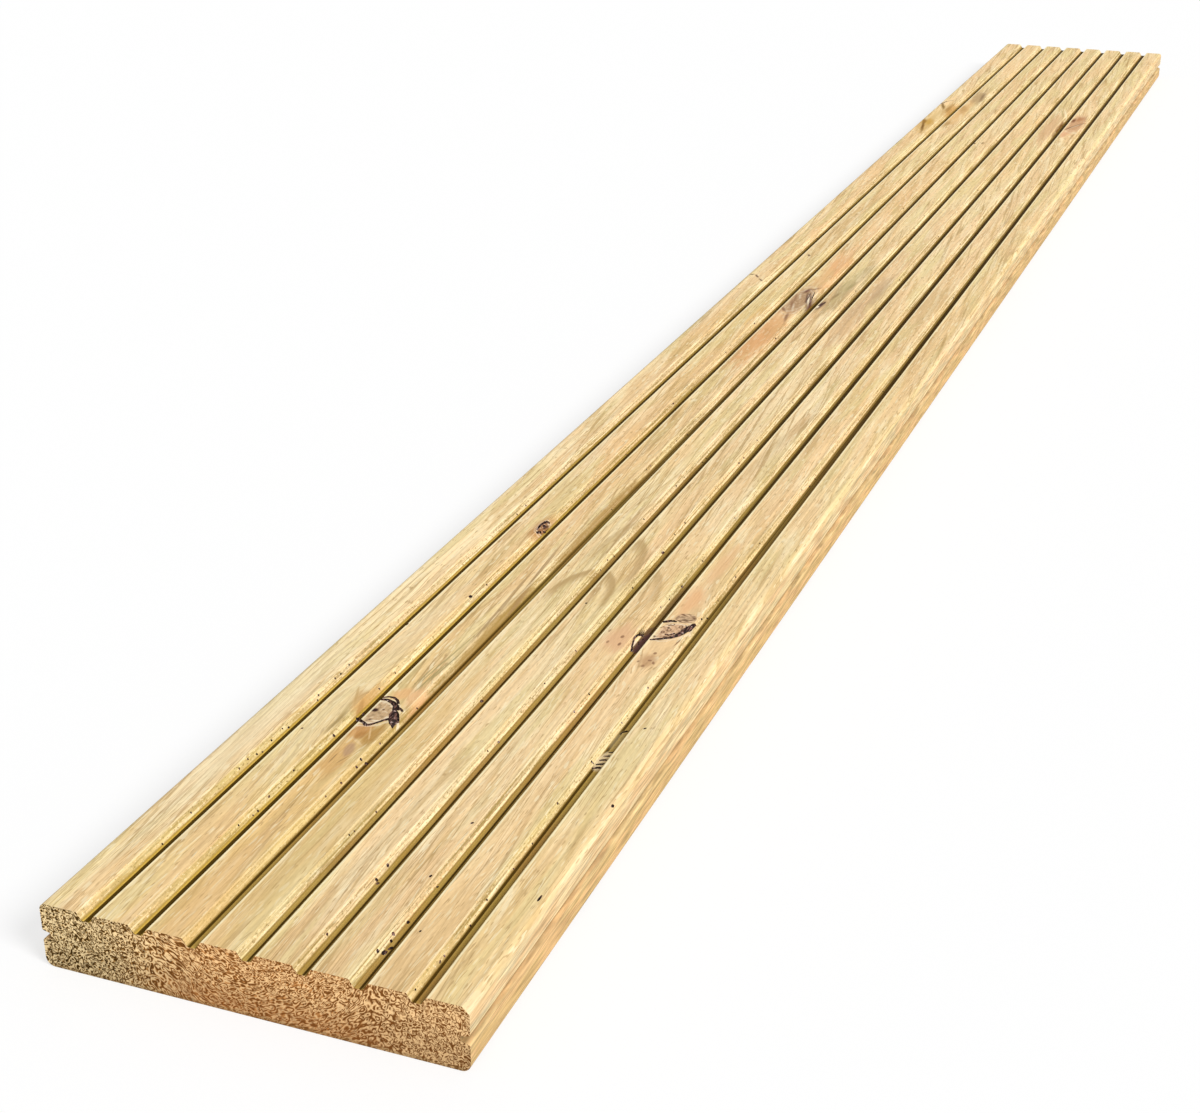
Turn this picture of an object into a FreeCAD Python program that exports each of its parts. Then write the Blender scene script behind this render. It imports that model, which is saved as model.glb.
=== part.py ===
"""Grooved softwood decking board: one length of timber, moulded on four sides and cross-cut square.

Frame, in millimetres: +Y runs along the board, +X across it and +Z up, with the grooved face on top.
The origin is the middle of the flat underside.
"""

import FreeCAD, Part
import math
import os

# The stick of timber
BOARD_LENGTH = 1500.0
BOARD_WIDTH = 140.0
BOARD_THICKNESS = 22.0

# The grip grooves, run along the top face by one cutter block
GROOVE_COUNT = 7
GROOVE_MOUTH = 6.3
GROOVE_FLOOR = 2.7
GROOVE_DEPTH = 2.7
EDGE_RIDGE = 12.9

# The slot along each edge, at mid-thickness
SLOT_HEIGHT = 3.2
SLOT_DEPTH = 3.0

# Rounded corners of the section
TOP_ARRIS_RADIUS = 2.0
BOTTOM_ARRIS_RADIUS = 3.0
CREST_RADIUS = 0.5
GROOVE_ROOT_RADIUS = 0.4
SLOT_ROOT_RADIUS = 1.4
SLOT_LIP_RADIUS = 0.5

# Places that follow from the sizes above
HALF_WIDTH = BOARD_WIDTH / 2
NEAR_END = -BOARD_LENGTH / 2
GROOVE_FLOOR_HEIGHT = BOARD_THICKNESS - GROOVE_DEPTH
OUTER_GROOVE_CENTRE = HALF_WIDTH - EDGE_RIDGE - GROOVE_MOUTH / 2
GROOVE_PITCH = 2 * OUTER_GROOVE_CENTRE / (GROOVE_COUNT - 1)
SLOT_TOP = (BOARD_THICKNESS + SLOT_HEIGHT) / 2
SLOT_BOTTOM = (BOARD_THICKNESS - SLOT_HEIGHT) / 2
SLOT_BACK = HALF_WIDTH - SLOT_DEPTH


def right_edge_corners():
    """Corners (x, z, radius) up the right-hand edge, from the underside to the top face."""
    return [
        (HALF_WIDTH, 0, BOTTOM_ARRIS_RADIUS),
        (HALF_WIDTH, SLOT_BOTTOM, SLOT_LIP_RADIUS),
        (SLOT_BACK, SLOT_BOTTOM, SLOT_ROOT_RADIUS),
        (SLOT_BACK, SLOT_TOP, SLOT_ROOT_RADIUS),
        (HALF_WIDTH, SLOT_TOP, SLOT_LIP_RADIUS),
        (HALF_WIDTH, BOARD_THICKNESS, TOP_ARRIS_RADIUS),
    ]


def groove_corners(centre):
    """Corners (x, z, radius) of one groove, from its right-hand crest to its left-hand crest."""
    return [
        (centre + GROOVE_MOUTH / 2, BOARD_THICKNESS, CREST_RADIUS),
        (centre + GROOVE_FLOOR / 2, GROOVE_FLOOR_HEIGHT, GROOVE_ROOT_RADIUS),
        (centre - GROOVE_FLOOR / 2, GROOVE_FLOOR_HEIGHT, GROOVE_ROOT_RADIUS),
        (centre - GROOVE_MOUTH / 2, BOARD_THICKNESS, CREST_RADIUS),
    ]


def section_corners():
    """All corners of the section in order: up the right edge, across the top, down the left edge."""
    right_edge = right_edge_corners()
    top = []
    for number in range(GROOVE_COUNT):
        top += groove_corners(OUTER_GROOVE_CENTRE - number * GROOVE_PITCH)
    left_edge = [(-x, z, radius) for x, z, radius in reversed(right_edge)]
    return right_edge + top + left_edge


def rounded_outline(corners):
    """A closed wire in the near end's plane, with every corner rounded by a tangent arc."""
    points = [FreeCAD.Vector(x, NEAR_END, z) for x, z, _ in corners]
    following = points[1:] + points[:1]
    arcs = []
    for here, before, after, (_, _, radius) in zip(points, points[-1:] + points, following, corners):
        to_before = (before - here).normalize()
        to_after = (after - here).normalize()
        half_angle = to_before.getAngle(to_after) / 2
        setback = radius / math.tan(half_angle)
        inwards = (to_before + to_after).normalize()
        middle = here + inwards * (radius / math.sin(half_angle) - radius)
        arcs.append(Part.Arc(here + to_before * setback, middle, here + to_after * setback))
    edges = []
    for arc, next_arc in zip(arcs, arcs[1:] + arcs[:1]):
        edges.append(arc.toShape())
        edges.append(Part.LineSegment(arc.EndPoint, next_arc.StartPoint).toShape())
    return Part.Wire(edges)


def decking_board():
    """The board: its moulded section, run along the whole length."""
    section = Part.Face(rounded_outline(section_corners()))
    return section.extrude(FreeCAD.Vector(0, BOARD_LENGTH, 0))


os.makedirs("parts", exist_ok=True)
board = decking_board()
board.exportStep("parts/decking_board.step")
print(f"decking_board: valid {board.isValid()}, volume {board.Volume / 1e6:.4f} litres")
print(f"groove pitch {GROOVE_PITCH:.2f} mm, ridge {GROOVE_PITCH - GROOVE_MOUTH:.2f} mm")
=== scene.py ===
"""A grooved decking board of treated pine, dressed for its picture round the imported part.

The scene is in metres in the part's own frame: +Y along the board, +X across it, +Z up out of its
grooved face. Marks on the timber are placed in millimetres from the board's left edge and from its
near end.
"""

import math
import random
from types import SimpleNamespace

import bmesh
import bpy
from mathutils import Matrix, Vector


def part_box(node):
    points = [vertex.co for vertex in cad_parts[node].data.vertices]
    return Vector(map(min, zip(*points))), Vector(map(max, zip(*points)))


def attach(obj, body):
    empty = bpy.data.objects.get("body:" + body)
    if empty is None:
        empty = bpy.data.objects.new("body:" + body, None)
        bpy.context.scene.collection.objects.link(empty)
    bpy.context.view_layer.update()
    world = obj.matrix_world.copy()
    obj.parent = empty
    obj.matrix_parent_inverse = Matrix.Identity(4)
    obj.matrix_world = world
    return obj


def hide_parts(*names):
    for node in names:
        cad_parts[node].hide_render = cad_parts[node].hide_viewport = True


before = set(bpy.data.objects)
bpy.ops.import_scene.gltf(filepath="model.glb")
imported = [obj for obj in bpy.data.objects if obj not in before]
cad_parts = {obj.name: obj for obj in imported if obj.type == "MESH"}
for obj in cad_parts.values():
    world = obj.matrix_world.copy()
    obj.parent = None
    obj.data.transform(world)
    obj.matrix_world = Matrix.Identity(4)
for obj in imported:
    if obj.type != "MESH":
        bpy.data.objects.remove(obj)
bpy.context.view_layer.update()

# The stick
# One length of pine, planed flat and run through a four-sided moulder, which leaves the grip grooves on top,
# a slot along each side and rounded edges. It starts as a plain squared stick.
MM = 0.001
low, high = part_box("decking_board")
WIDTH = high.x - low.x
LENGTH = high.y - low.y
THICKNESS = high.z - low.z
GROOVES = 7
GROOVE_MOUTH = 6.3 * MM
GROOVE_FLOOR = 2.7 * MM
GROOVE_DEPTH = 2.7 * MM
EDGE_RIDGE = 12.9 * MM
OUTER_GROOVE = WIDTH / 2 - EDGE_RIDGE - GROOVE_MOUTH / 2
GROOVE_PITCH = 2 * OUTER_GROOVE / (GROOVES - 1)
FLOOR_HEIGHT = THICKNESS - GROOVE_DEPTH
SLOT_MIDDLE = THICKNESS / 2
SLOT_MOUTH = 3.2 * MM
SLOT_BACK = 1.7 * MM
SLOT_DEPTH = 3.0 * MM
TOP_ROUND = 2.0 * MM
BOTTOM_ROUND = 3.0 * MM
CREST_ROUND = 0.15 * MM
FLOOR_ROUND = 0.3 * MM
SLOT_LIP_ROUND = 0.5 * MM
SLOT_BACK_ROUND = 0.6 * MM
EDGE_MARGIN = 5 * MM
ROW_CUTS = 74
NEAR = 1e-6


def groove_centres():
    """Middle of each groove across the board, from left to right."""
    return [number * GROOVE_PITCH - OUTER_GROOVE for number in range(GROOVES)]


def pick(kind, test):
    """Selects the vertices, edges or faces of the mesh in hand that pass the test, and nothing else."""
    bpy.ops.mesh.select_mode(type=kind)
    bpy.ops.mesh.select_all(action="DESELECT")
    mesh = bmesh.from_edit_mesh(bpy.context.edit_object.data)
    parts = {"VERT": mesh.verts, "EDGE": mesh.edges, "FACE": mesh.faces}[kind]
    for part in parts:
        if test(part):
            part.select_set(True)
    bmesh.update_edit_mesh(bpy.context.edit_object.data)


def slice_all(point, normal):
    """Slices everything in view along a plane, and keeps both sides."""
    bpy.ops.mesh.select_all(action="SELECT")
    bpy.ops.mesh.bisect(plane_co=point, plane_no=normal)


def runs_along(edge):
    """True for an edge that runs along the board."""
    first, second = (vertex.co for vertex in edge.verts)
    return abs(first.x - second.x) < NEAR and abs(first.z - second.z) < NEAR


def middle(edge):
    """Middle point of an edge."""
    return (edge.verts[0].co + edge.verts[1].co) / 2


def round_over(size, segments, test):
    """Rounds the edges along the board that pass the test."""
    pick("EDGE", lambda edge: runs_along(edge) and test(middle(edge)))
    bpy.ops.mesh.bevel(offset=size, segments=segments, affect="EDGES")


def over_a_floor(place):
    """True for a place that lies over the floor of one of the grooves."""
    return any(abs(place.x - centre) < GROOVE_FLOOR / 2 + NEAR for centre in groove_centres())


bpy.ops.object.select_all(action="DESELECT")
bpy.ops.mesh.primitive_cube_add(size=1)
board = bpy.context.object
board.name = "grooved_board"
bpy.ops.object.mode_set(mode="EDIT")
bpy.ops.transform.resize(value=(WIDTH, LENGTH, THICKNESS))
bpy.ops.transform.translate(value=(0, 0, THICKNESS / 2))

# The grooves: four slices for each, then the two inner ones are pushed down to the groove's floor.
for centre in groove_centres():
    for offset in (-GROOVE_MOUTH / 2, -GROOVE_FLOOR / 2, GROOVE_FLOOR / 2, GROOVE_MOUTH / 2):
        slice_all((centre + offset, 0, 0), (1, 0, 0))
pick("VERT", lambda vertex: vertex.co.z > THICKNESS - NEAR and over_a_floor(vertex.co))
bpy.ops.transform.translate(value=(0, 0, -GROOVE_DEPTH))

# The side slots: four level slices, then the two inner ones are pushed into each side.
for offset in (-SLOT_MOUTH / 2, -SLOT_BACK / 2, SLOT_BACK / 2, SLOT_MOUTH / 2):
    slice_all((0, 0, SLOT_MIDDLE + offset), (0, 0, 1))
for side in (-1, 1):
    pick("VERT", lambda vertex: abs(vertex.co.x - side * WIDTH / 2) < NEAR
         and abs(vertex.co.z - SLOT_MIDDLE) < SLOT_BACK / 2 + NEAR)
    bpy.ops.transform.translate(value=(-side * SLOT_DEPTH, 0, 0))

# The slices leave seams across the ends and the underside, which are taken out again.
for test in (
    lambda face: face.normal.y < -0.9,
    lambda face: face.normal.y > 0.9,
    lambda face: face.normal.z < -0.9 and face.calc_center_median().z < NEAR,
):
    pick("FACE", test)
    bpy.ops.mesh.dissolve_faces()

# The rounding of each edge, as its cutter leaves it.
round_over(TOP_ROUND, 5, lambda place: abs(place.x) > WIDTH / 2 - NEAR and place.z > THICKNESS - NEAR)
round_over(BOTTOM_ROUND, 6, lambda place: abs(place.x) > WIDTH / 2 - NEAR and place.z < NEAR)
round_over(CREST_ROUND, 2, lambda place: abs(place.x) < WIDTH / 2 - EDGE_MARGIN
           and place.z > THICKNESS - NEAR)
round_over(FLOOR_ROUND, 2, lambda place: abs(place.z - FLOOR_HEIGHT) < NEAR)
round_over(SLOT_LIP_ROUND, 3, lambda place: abs(place.x) > WIDTH / 2 - NEAR
           and abs(place.z - SLOT_MIDDLE) < SLOT_MOUTH)
round_over(SLOT_BACK_ROUND, 3, lambda place: abs(abs(place.x) - WIDTH / 2 + SLOT_DEPTH) < NEAR
           and abs(place.z - SLOT_MIDDLE) < SLOT_MOUTH)
pick("EDGE", runs_along)
bpy.ops.mesh.subdivide(number_cuts=ROW_CUTS)

# The sawn ends
# Both ends are cross-cut with a coarse saw, which tears the fibres, so each end is a field of small
# facets that stand up to a fifth of a millimetre in or out.
END_FACET = 1.1 * MM
END_ROUGHNESS = 0.18 * MM
for end in (-1, 1):
    pick("FACE", lambda face: face.normal.y * end > 0.9)
    bpy.ops.mesh.hide(unselected=True)
    for step in range(1, int(WIDTH / END_FACET)):
        slice_all((step * END_FACET - WIDTH / 2, 0, 0), (1, 0, 0))
    for step in range(1, int(THICKNESS / END_FACET)):
        slice_all((0, 0, step * END_FACET), (0, 0, 1))
    pick("VERT", lambda vertex: not vertex.hide and not vertex.is_boundary
         and all(face.normal.y * end > 0.9 for face in vertex.link_faces))
    bpy.ops.transform.vertex_random(offset=END_ROUGHNESS, uniform=1.0, seed=5 + end)
    bpy.ops.transform.translate(value=(0, -end * END_ROUGHNESS, 0))
    bpy.ops.mesh.reveal(select=False)
bpy.ops.object.mode_set(mode="OBJECT")

# The knots, bark and pits
# Branches leave knots edged with bark, part of which has fallen out, and the cutters leave small tears and
# pits in the groove walls. All of these are real hollows, cut out of the stick and lined with dark bark.
EYE_BARK = [
    # for each crack, its places and its widths there
    [(35.8, 133.8, 1.9), (37.2, 133.7, 2.0), (39.0, 133.0, 1.4), (40.8, 131.4, 2.0), (41.8, 132.2, 1.6),
     (43.2, 134.0, 1.3), (44.6, 136.2, 1.3), (46.6, 138.8, 1.9)],
    [(36.9, 149.9, 1.7), (39.4, 150.5, 1.8), (42.2, 149.4, 2.3), (44.4, 147.4, 2.7), (45.6, 144.6, 3.0)],
    [(37.2, 151.4, 1.0), (38.8, 152.7, 1.3), (40.8, 152.8, 1.4), (42.8, 151.6, 1.3), (44.4, 149.2, 1.1)],
    [(45.6, 146.6, 1.7), (47.1, 145.9, 1.3), (48.3, 144.6, 0.9)],
    [(33.2, 139.4, 1.4), (34.4, 137.6, 1.6), (36.4, 135.0, 1.5)],
    [(33.6, 143.4, 0.9), (34.3, 141.4, 1.0)],
]
ARCH_BARK = [
    [(109.8, 228.4, 1.2), (111.8, 229.6, 1.7), (113.7, 230.8, 1.7), (116.3, 232.6, 2.0), (118.2, 235.4, 2.8),
     (119.3, 239.0, 3.2), (120.2, 243.2, 3.0), (121.2, 247.6, 1.2)],
    [(109.3, 244.2, 1.7), (110.8, 245.3, 2.4), (112.4, 246.5, 2.0), (114.2, 246.1, 0.9)],
    [(105.0, 221.6, 1.0), (104.0, 224.8, 1.1), (103.3, 229.0, 1.0), (103.5, 232.4, 0.9), (104.6, 235.4, 0.8)],
    [(105.6, 227.0, 0.6), (104.9, 229.8, 0.7), (105.6, 233.0, 0.6)],
    [(113.6, 234.3, 1.3), (114.6, 234.9, 1.1)],
    [(112.6, 240.0, 1.0), (113.2, 240.5, 0.9)],
    [(115.6, 234.8, 1.2), (116.6, 236.8, 1.2)],
]
SMALL_BARK = [
    [(30.6, 308.0, 0.8), (30.0, 312.6, 1.3), (30.7, 317.0, 1.5), (31.7, 318.6, 1.2)],
    [(31.2, 312.6, 1.7), (31.6, 314.8, 1.4)],
    [(31.2, 305.6, 1.4), (31.8, 308.8, 1.3)],
    [(32.2, 310.4, 1.3), (32.6, 311.8, 1.1)],
]
FAR_BARK = [
    [(45.4, 675.0, 0.4), (46.4, 668.0, 0.7), (47.6, 658.0, 0.5)],
    [(47.2, 678.0, 0.4), (48.4, 670.0, 0.8), (49.6, 659.0, 0.6)],
    [(56.0, 654.0, 0.9), (57.4, 658.0, 1.4), (58.0, 662.0, 0.9)],
    [(1.4, 1215.0, 1.2), (4.0, 1226.0, 1.0), (8.0, 1232.0, 0.7)],
]
TORN_BARS = [
    [(122.6, 136.6, 0.9), (124.2, 137.8, 1.6), (125.4, 137.6, 1.2)],
    [(122.8, 139.4, 0.7), (124.0, 140.2, 1.3), (125.4, 140.8, 1.3)],
    [(122.9, 142.4, 0.8), (124.3, 143.4, 1.4), (125.6, 143.3, 1.0)],
    [(123.2, 145.6, 0.7), (124.6, 146.2, 1.2), (125.5, 146.4, 0.9)],
    [(123.8, 148.6, 0.6), (125.4, 149.2, 1.0)],
    [(121.5, 138.2, 0.9), (122.2, 138.8, 0.8)],
    [(123.3, 163.0, 0.9), (124.6, 164.6, 1.3)],
]
POCKETS = [
    # across, along, half across, half along, turn
    (47.5, 139.4, 1.75, 6.2, 24),
]
POCKET_DEPTH = 1.1 * MM
TEARS = [
    # across, along, half across, half along
    (104.9, 18, 1, 1.5), (103.7, 16.4, 0.6, 0.8), (105.6, 20.6, 0.7, 1.3), (104.4, 23.5, 0.5, 0.8),
    (103.9, 26, 0.6, 0.8), (104.6, 34, 0.6, 0.9), (102, 55, 0.5, 0.9), (104.7, 54, 0.4, 0.7),
    (86.2, 50, 0.7, 0.8), (87, 49.2, 0.5, 0.9), (86, 58, 0.5, 0.8), (68.9, 166, 0.8, 1.1),
    (50.8, 112, 0.8, 0.9), (49.4, 111, 0.5, 0.7), (49.8, 107, 0.5, 0.7), (32.2, 124, 0.7, 0.8),
    (19.2, 207, 0.5, 1.4), (31.2, 239, 0.6, 1.6), (21.3, 121.5, 0.5, 0.7), (76, 249, 0.5, 0.8),
    (101.2, 87, 0.5, 0.8), (111.7, 28, 0.4, 0.7), (131.3, 164, 0.5, 0.9), (138.9, 113, 0.7, 1.2),
    (137.4, 56, 0.5, 2.2), (86.2, 309, 0.7, 1.8), (104.3, 281, 0.6, 1), (55.7, 1085, 0.7, 2.2),
]
PIT_ROWS = [
    # distances from the near end, for each groove in turn
    (44, 62, 92, 98, 103, 106, 113, 121, 124, 145, 147, 160, 164, 171, 324, 334, 367),
    (61, 69, 72, 80, 97, 159, 172, 253),
    (86, 96, 124, 152, 344),
    (68, 71, 85, 284, 293, 299, 337, 378, 389),
    (19, 133, 141, 184, 213, 273, 326, 339),
    (168, 182, 258, 267, 307, 352),
    (4, 19, 22, 39, 52, 71, 86, 109, 167, 194, 254, 258, 273, 296, 330),
]
SCATTERED_PITS = 70
SCATTER_START = 390
SCATTER_RUN = 1100


def top_height(across):
    """Height of the grooved face at this many metres from the middle of the board."""
    offset = min(abs(across - centre) for centre in groove_centres())
    slope = (offset - GROOVE_FLOOR / 2) / (GROOVE_MOUTH / 2 - GROOVE_FLOOR / 2)
    return FLOOR_HEIGHT + GROOVE_DEPTH * min(max(slope, 0), 1)


def spot(across, along):
    """The place on the grooved face that lies this many millimetres from the left edge and the near end."""
    x = across * MM - WIDTH / 2
    return Vector((x, along * MM - LENGTH / 2, top_height(x)))


def crack(points):
    """A tapering gouge along a line of places, each with its width."""
    for (across, along, width), (next_across, next_along, next_width) in zip(points, points[1:]):
        start = spot(across, along)
        finish = spot(next_across, next_along)
        run = finish - start
        bpy.ops.mesh.primitive_cone_add(
            vertices=6, radius1=width * MM / 2, radius2=next_width * MM / 2, depth=run.length * 1.12,
            location=(start + finish) / 2, rotation=run.to_track_quat("Z", "Y").to_euler())


def pebble(across, along, half_across, half_along, turn=0.0, depth=0.8):
    """A rounded hollow."""
    bpy.ops.mesh.primitive_ico_sphere_add(
        subdivisions=1, radius=1, location=spot(across, along), rotation=(0, 0, math.radians(turn)),
        scale=(half_across * MM, half_along * MM, depth * MM))


def wall_pit(across, along, shortest, longest):
    """A small pit torn in the wall of a groove, between these half lengths."""
    pebble(across, along, chance.uniform(0.3, 0.5), chance.uniform(shortest, longest),
           turn=chance.uniform(-40, 10), depth=0.5)


def pocket(across, along, half_across, half_along, turn):
    """A steep-sided hole where bark has dropped out."""
    bpy.ops.mesh.primitive_cylinder_add(
        vertices=14, radius=1, depth=2, location=spot(across, along), rotation=(0, 0, math.radians(turn)),
        scale=(half_across * MM, half_along * MM, POCKET_DEPTH))
    bpy.ops.transform.vertex_random(offset=0.30 * MM, uniform=1.0, seed=3)


def join_hollows(name, material_index):
    """Cuts the hollows in hand out of the board; their walls take this slot of the board's materials."""
    bpy.ops.mesh.select_all(action="SELECT")
    bpy.ops.mesh.normals_make_consistent(inside=False)
    bpy.ops.object.mode_set(mode="OBJECT")
    hollows = bpy.context.object
    hollows.name = name
    for slot_material in board.data.materials:
        hollows.data.materials.append(slot_material)
    for polygon in hollows.data.polygons:
        polygon.material_index = material_index
    bpy.ops.object.select_all(action="DESELECT")
    bpy.context.view_layer.objects.active = board
    board.select_set(True)
    carve = board.modifiers.new(name, "BOOLEAN")
    carve.operation = "DIFFERENCE"
    carve.solver = "EXACT"
    carve.use_self = True
    carve.object = hollows
    bpy.ops.object.modifier_apply(modifier=name)
    bpy.data.objects.remove(hollows)


near_pine = bpy.data.materials.new("pine_near_half")
bark = bpy.data.materials.new("knot_bark")
far_pine = bpy.data.materials.new("pine_far_half")
edge_pine = bpy.data.materials.new("pine_edges")
end_pine = bpy.data.materials.new("pine_end_grain")
MATERIALS = [near_pine, bark, far_pine, edge_pine, end_pine]
ZONE_BREAK = 420
UNDERSIDE_SKIN = 0.1 * MM
SIDE_START = 66.5 * MM
SIDE_TOP = 20 * MM
for material in MATERIALS:
    board.data.materials.append(material)
for polygon in board.data.polygons:
    middle_place = polygon.center
    if abs(polygon.normal.y) > 0.5:
        polygon.material_index = MATERIALS.index(end_pine)
    elif middle_place.z < UNDERSIDE_SKIN or abs(middle_place.x) > SIDE_START and middle_place.z < SIDE_TOP:
        polygon.material_index = MATERIALS.index(edge_pine)
    elif middle_place.y + LENGTH / 2 > ZONE_BREAK * MM:
        polygon.material_index = MATERIALS.index(far_pine)

chance = random.Random(41)
bpy.ops.object.select_all(action="DESELECT")
bpy.ops.mesh.primitive_ico_sphere_add(
    subdivisions=1, radius=0.5 * MM, location=spot(123.2, 162.0), scale=(0.8, 1.6, 1.0))
bpy.ops.object.transform_apply(location=True, rotation=True, scale=True)
bpy.ops.object.mode_set(mode="EDIT")
for line in EYE_BARK + ARCH_BARK + SMALL_BARK + FAR_BARK + TORN_BARS:
    crack(line)
for across, along, half_across, half_along, turn in POCKETS:
    pocket(across, along, half_across, half_along, turn)
for across, along, half_across, half_along in TEARS:
    pebble(across, along, half_across, half_along, turn=chance.uniform(-25, 5))
for centre, distances in zip(groove_centres(), PIT_ROWS):
    for distance in distances:
        wall = (centre + WIDTH / 2) / MM - chance.uniform(1.5, 2.6)
        wall_pit(wall, distance, 0.4, 0.8)
for number in range(SCATTERED_PITS):
    groove = chance.choice(groove_centres()) / MM + WIDTH / 2 / MM
    wall = groove - chance.uniform(0.9, 3.0)
    distance = SCATTER_START + SCATTER_RUN * chance.random() ** 1.5
    wall_pit(wall, distance, 0.5, 1.2)
bpy.ops.mesh.select_all(action="SELECT")
bpy.ops.transform.vertex_random(offset=0.1 * MM, uniform=1.0, seed=12)
join_hollows("bark_hollows", MATERIALS.index(bark))

# Bare chips: a corner knocked off the right-hand edge at the near end, and small nicks along the crests.
CHIP_SIZE = 2.3 * MM
CHIP_LENGTH = 9 * MM
CHIP_BLOCK = 30 * MM
CREST_NICKS = 60
NICK_RUN = 1500
end_corner = Vector((WIDTH / 2, -LENGTH / 2, THICKNESS))
chip_top = end_corner + Vector((-CHIP_SIZE, 0, 0))
chip_side = end_corner + Vector((0, 0, -CHIP_SIZE))
chip_tip = end_corner + Vector((-0.5 * MM, CHIP_LENGTH, -0.5 * MM))
chip_normal = (chip_side - chip_top).cross(chip_tip - chip_top).normalized()
if chip_normal.z < 0:
    chip_normal.negate()
bpy.ops.object.select_all(action="DESELECT")
bpy.ops.mesh.primitive_cube_add(
    size=CHIP_BLOCK, location=chip_top + chip_normal * CHIP_BLOCK / 2,
    rotation=chip_normal.to_track_quat("Z", "Y").to_euler())
bpy.ops.object.transform_apply(location=True, rotation=True, scale=True)
bpy.ops.object.mode_set(mode="EDIT")
for number in range(CREST_NICKS):
    crest = chance.choice(groove_centres()) + chance.choice((-1, 1)) * GROOVE_MOUTH / 2
    pebble((crest + WIDTH / 2) / MM, NICK_RUN * chance.random() ** 1.6, chance.uniform(0.25, 0.5),
           chance.uniform(0.5, 1.6), depth=0.4)
join_hollows("bare_chips", MATERIALS.index(near_pine))
bpy.ops.object.shade_smooth_by_angle(angle=math.radians(32))
for polygon in board.data.polygons:
    if max(abs(part) for part in polygon.normal) > 0.999:
        polygon.use_smooth = False

# The timber
# Pressure-treated pine: cream and straw earlywood, thin darker latewood rings cut at a slant by the flat
# face, orange stain round the knots, olive groove floors deepened with painted shade and painted shadow
# lines, painted highlights along the groove crests and a coarse speckled end grain. The top has one material
# for its near part and one for the rest, so that each holds only the marks that lie on it.
tree = None
place = None
ragged = None
MID_ACROSS = WIDTH / 2 / MM
MID_ALONG = LENGTH / 2 / MM
KNOT_DEPTH = 100.0
STAIN_REACH = 1.6


def shade(kind, inputs, **settings):
    """Adds one node to the material in hand. Inputs are numbers, colours or other nodes' outputs."""
    added = tree.nodes.new("ShaderNode" + kind)
    for name, value in settings.items():
        setattr(added, name, value)
    for name, value in inputs.items():
        if isinstance(value, bpy.types.NodeSocket):
            tree.links.new(value, added.inputs[name])
        else:
            added.inputs[name].default_value = value
    return added


def calc(operation, *values):
    """One sum on numbers or outputs."""
    return shade("Math", dict(enumerate(values)), operation=operation).outputs[0]


def times(first, second):
    return calc("MULTIPLY", first, second)


def plus(first, second):
    return calc("ADD", first, second)


def less(first, second):
    return calc("SUBTRACT", first, second)


def ease(value, start, end):
    """Rises smoothly from 0 at the start value to 1 at the end value, or falls if the start is higher."""
    inputs = {"Value": value, "From Min": start, "From Max": end}
    if start > end:
        inputs = {"Value": value, "From Min": end, "From Max": start, "To Min": 1.0, "To Max": 0.0}
    return shade("MapRange", inputs, interpolation_type="SMOOTHSTEP", clamp=False).outputs[0]


def ridge(value, rise_start, rise_end, fall_start, fall_end):
    """Rises between the first two values and falls between the last two."""
    return times(ease(value, rise_start, rise_end), ease(value, fall_end, fall_start))


def paint(under, over, share, how="MIX"):
    """Lays one colour over another."""
    mixed = shade("Mix", {0: share}, data_type="RGBA", blend_type=how)
    for index, value in ((6, under), (7, over)):
        if isinstance(value, bpy.types.NodeSocket):
            tree.links.new(value, mixed.inputs[index])
        else:
            mixed.inputs[index].default_value = (*value, 1)
    return mixed.outputs[2]


def brighten(colour, value):
    """Multiplies a colour by a value round one."""
    return shade("HueSaturation", {"Color": colour, "Value": value}).outputs[0]


def stretch(place, across, along, through, start=(0, 0, 0)):
    """The place in units of these lengths, counted from a start, for a pattern of that grain."""
    scale = (1 / across, 1 / along, 1 / through)
    return shade("Mapping", {"Vector": place, "Location": start, "Scale": scale}).outputs[0]


def cloud(place, across, along, through, detail=2.0, start=(0, 0, 0), roughness=0.5):
    """Soft patches of about this size, from 0 to 1."""
    pattern = shade("TexNoise", {"Vector": stretch(place, across, along, through, start), "Scale": 1.0,
                                 "Detail": detail, "Roughness": roughness})
    return pattern.outputs[0]


def spread(pattern, amount):
    """A pattern turned into a swing round nought."""
    return times(plus(pattern, -0.5), amount)


def oval(across, along, half_across, half_along, turn=0.0, reach=STAIN_REACH):
    """Distance out from the middle of an oval on the grooved face, in its half sizes and up to a reach."""
    local = shade("Mapping", {
        "Vector": place,
        "Location": (across - MID_ACROSS, along - MID_ALONG, THICKNESS / MM),
        "Rotation": (0, 0, math.radians(turn)),
        "Scale": (half_across * reach, half_along * reach, KNOT_DEPTH),
    }, vector_type="TEXTURE").outputs[0]
    closeness = shade("TexGradient", {"Vector": local}, gradient_type="SPHERICAL").outputs["Fac"]
    return calc("MULTIPLY_ADD", closeness, -reach, reach)


def stain(under, across, along, half_across, half_along, turn, share, colour, inner=0.15, rag=1.0):
    """Lays an oval stain on the grooved face, soft from its inner share outwards, with a ragged edge."""
    distance = plus(oval(across, along, half_across, half_along, turn), times(ragged, rag))
    return paint(under, colour, times(ease(distance, 1.0, inner), share))


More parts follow.
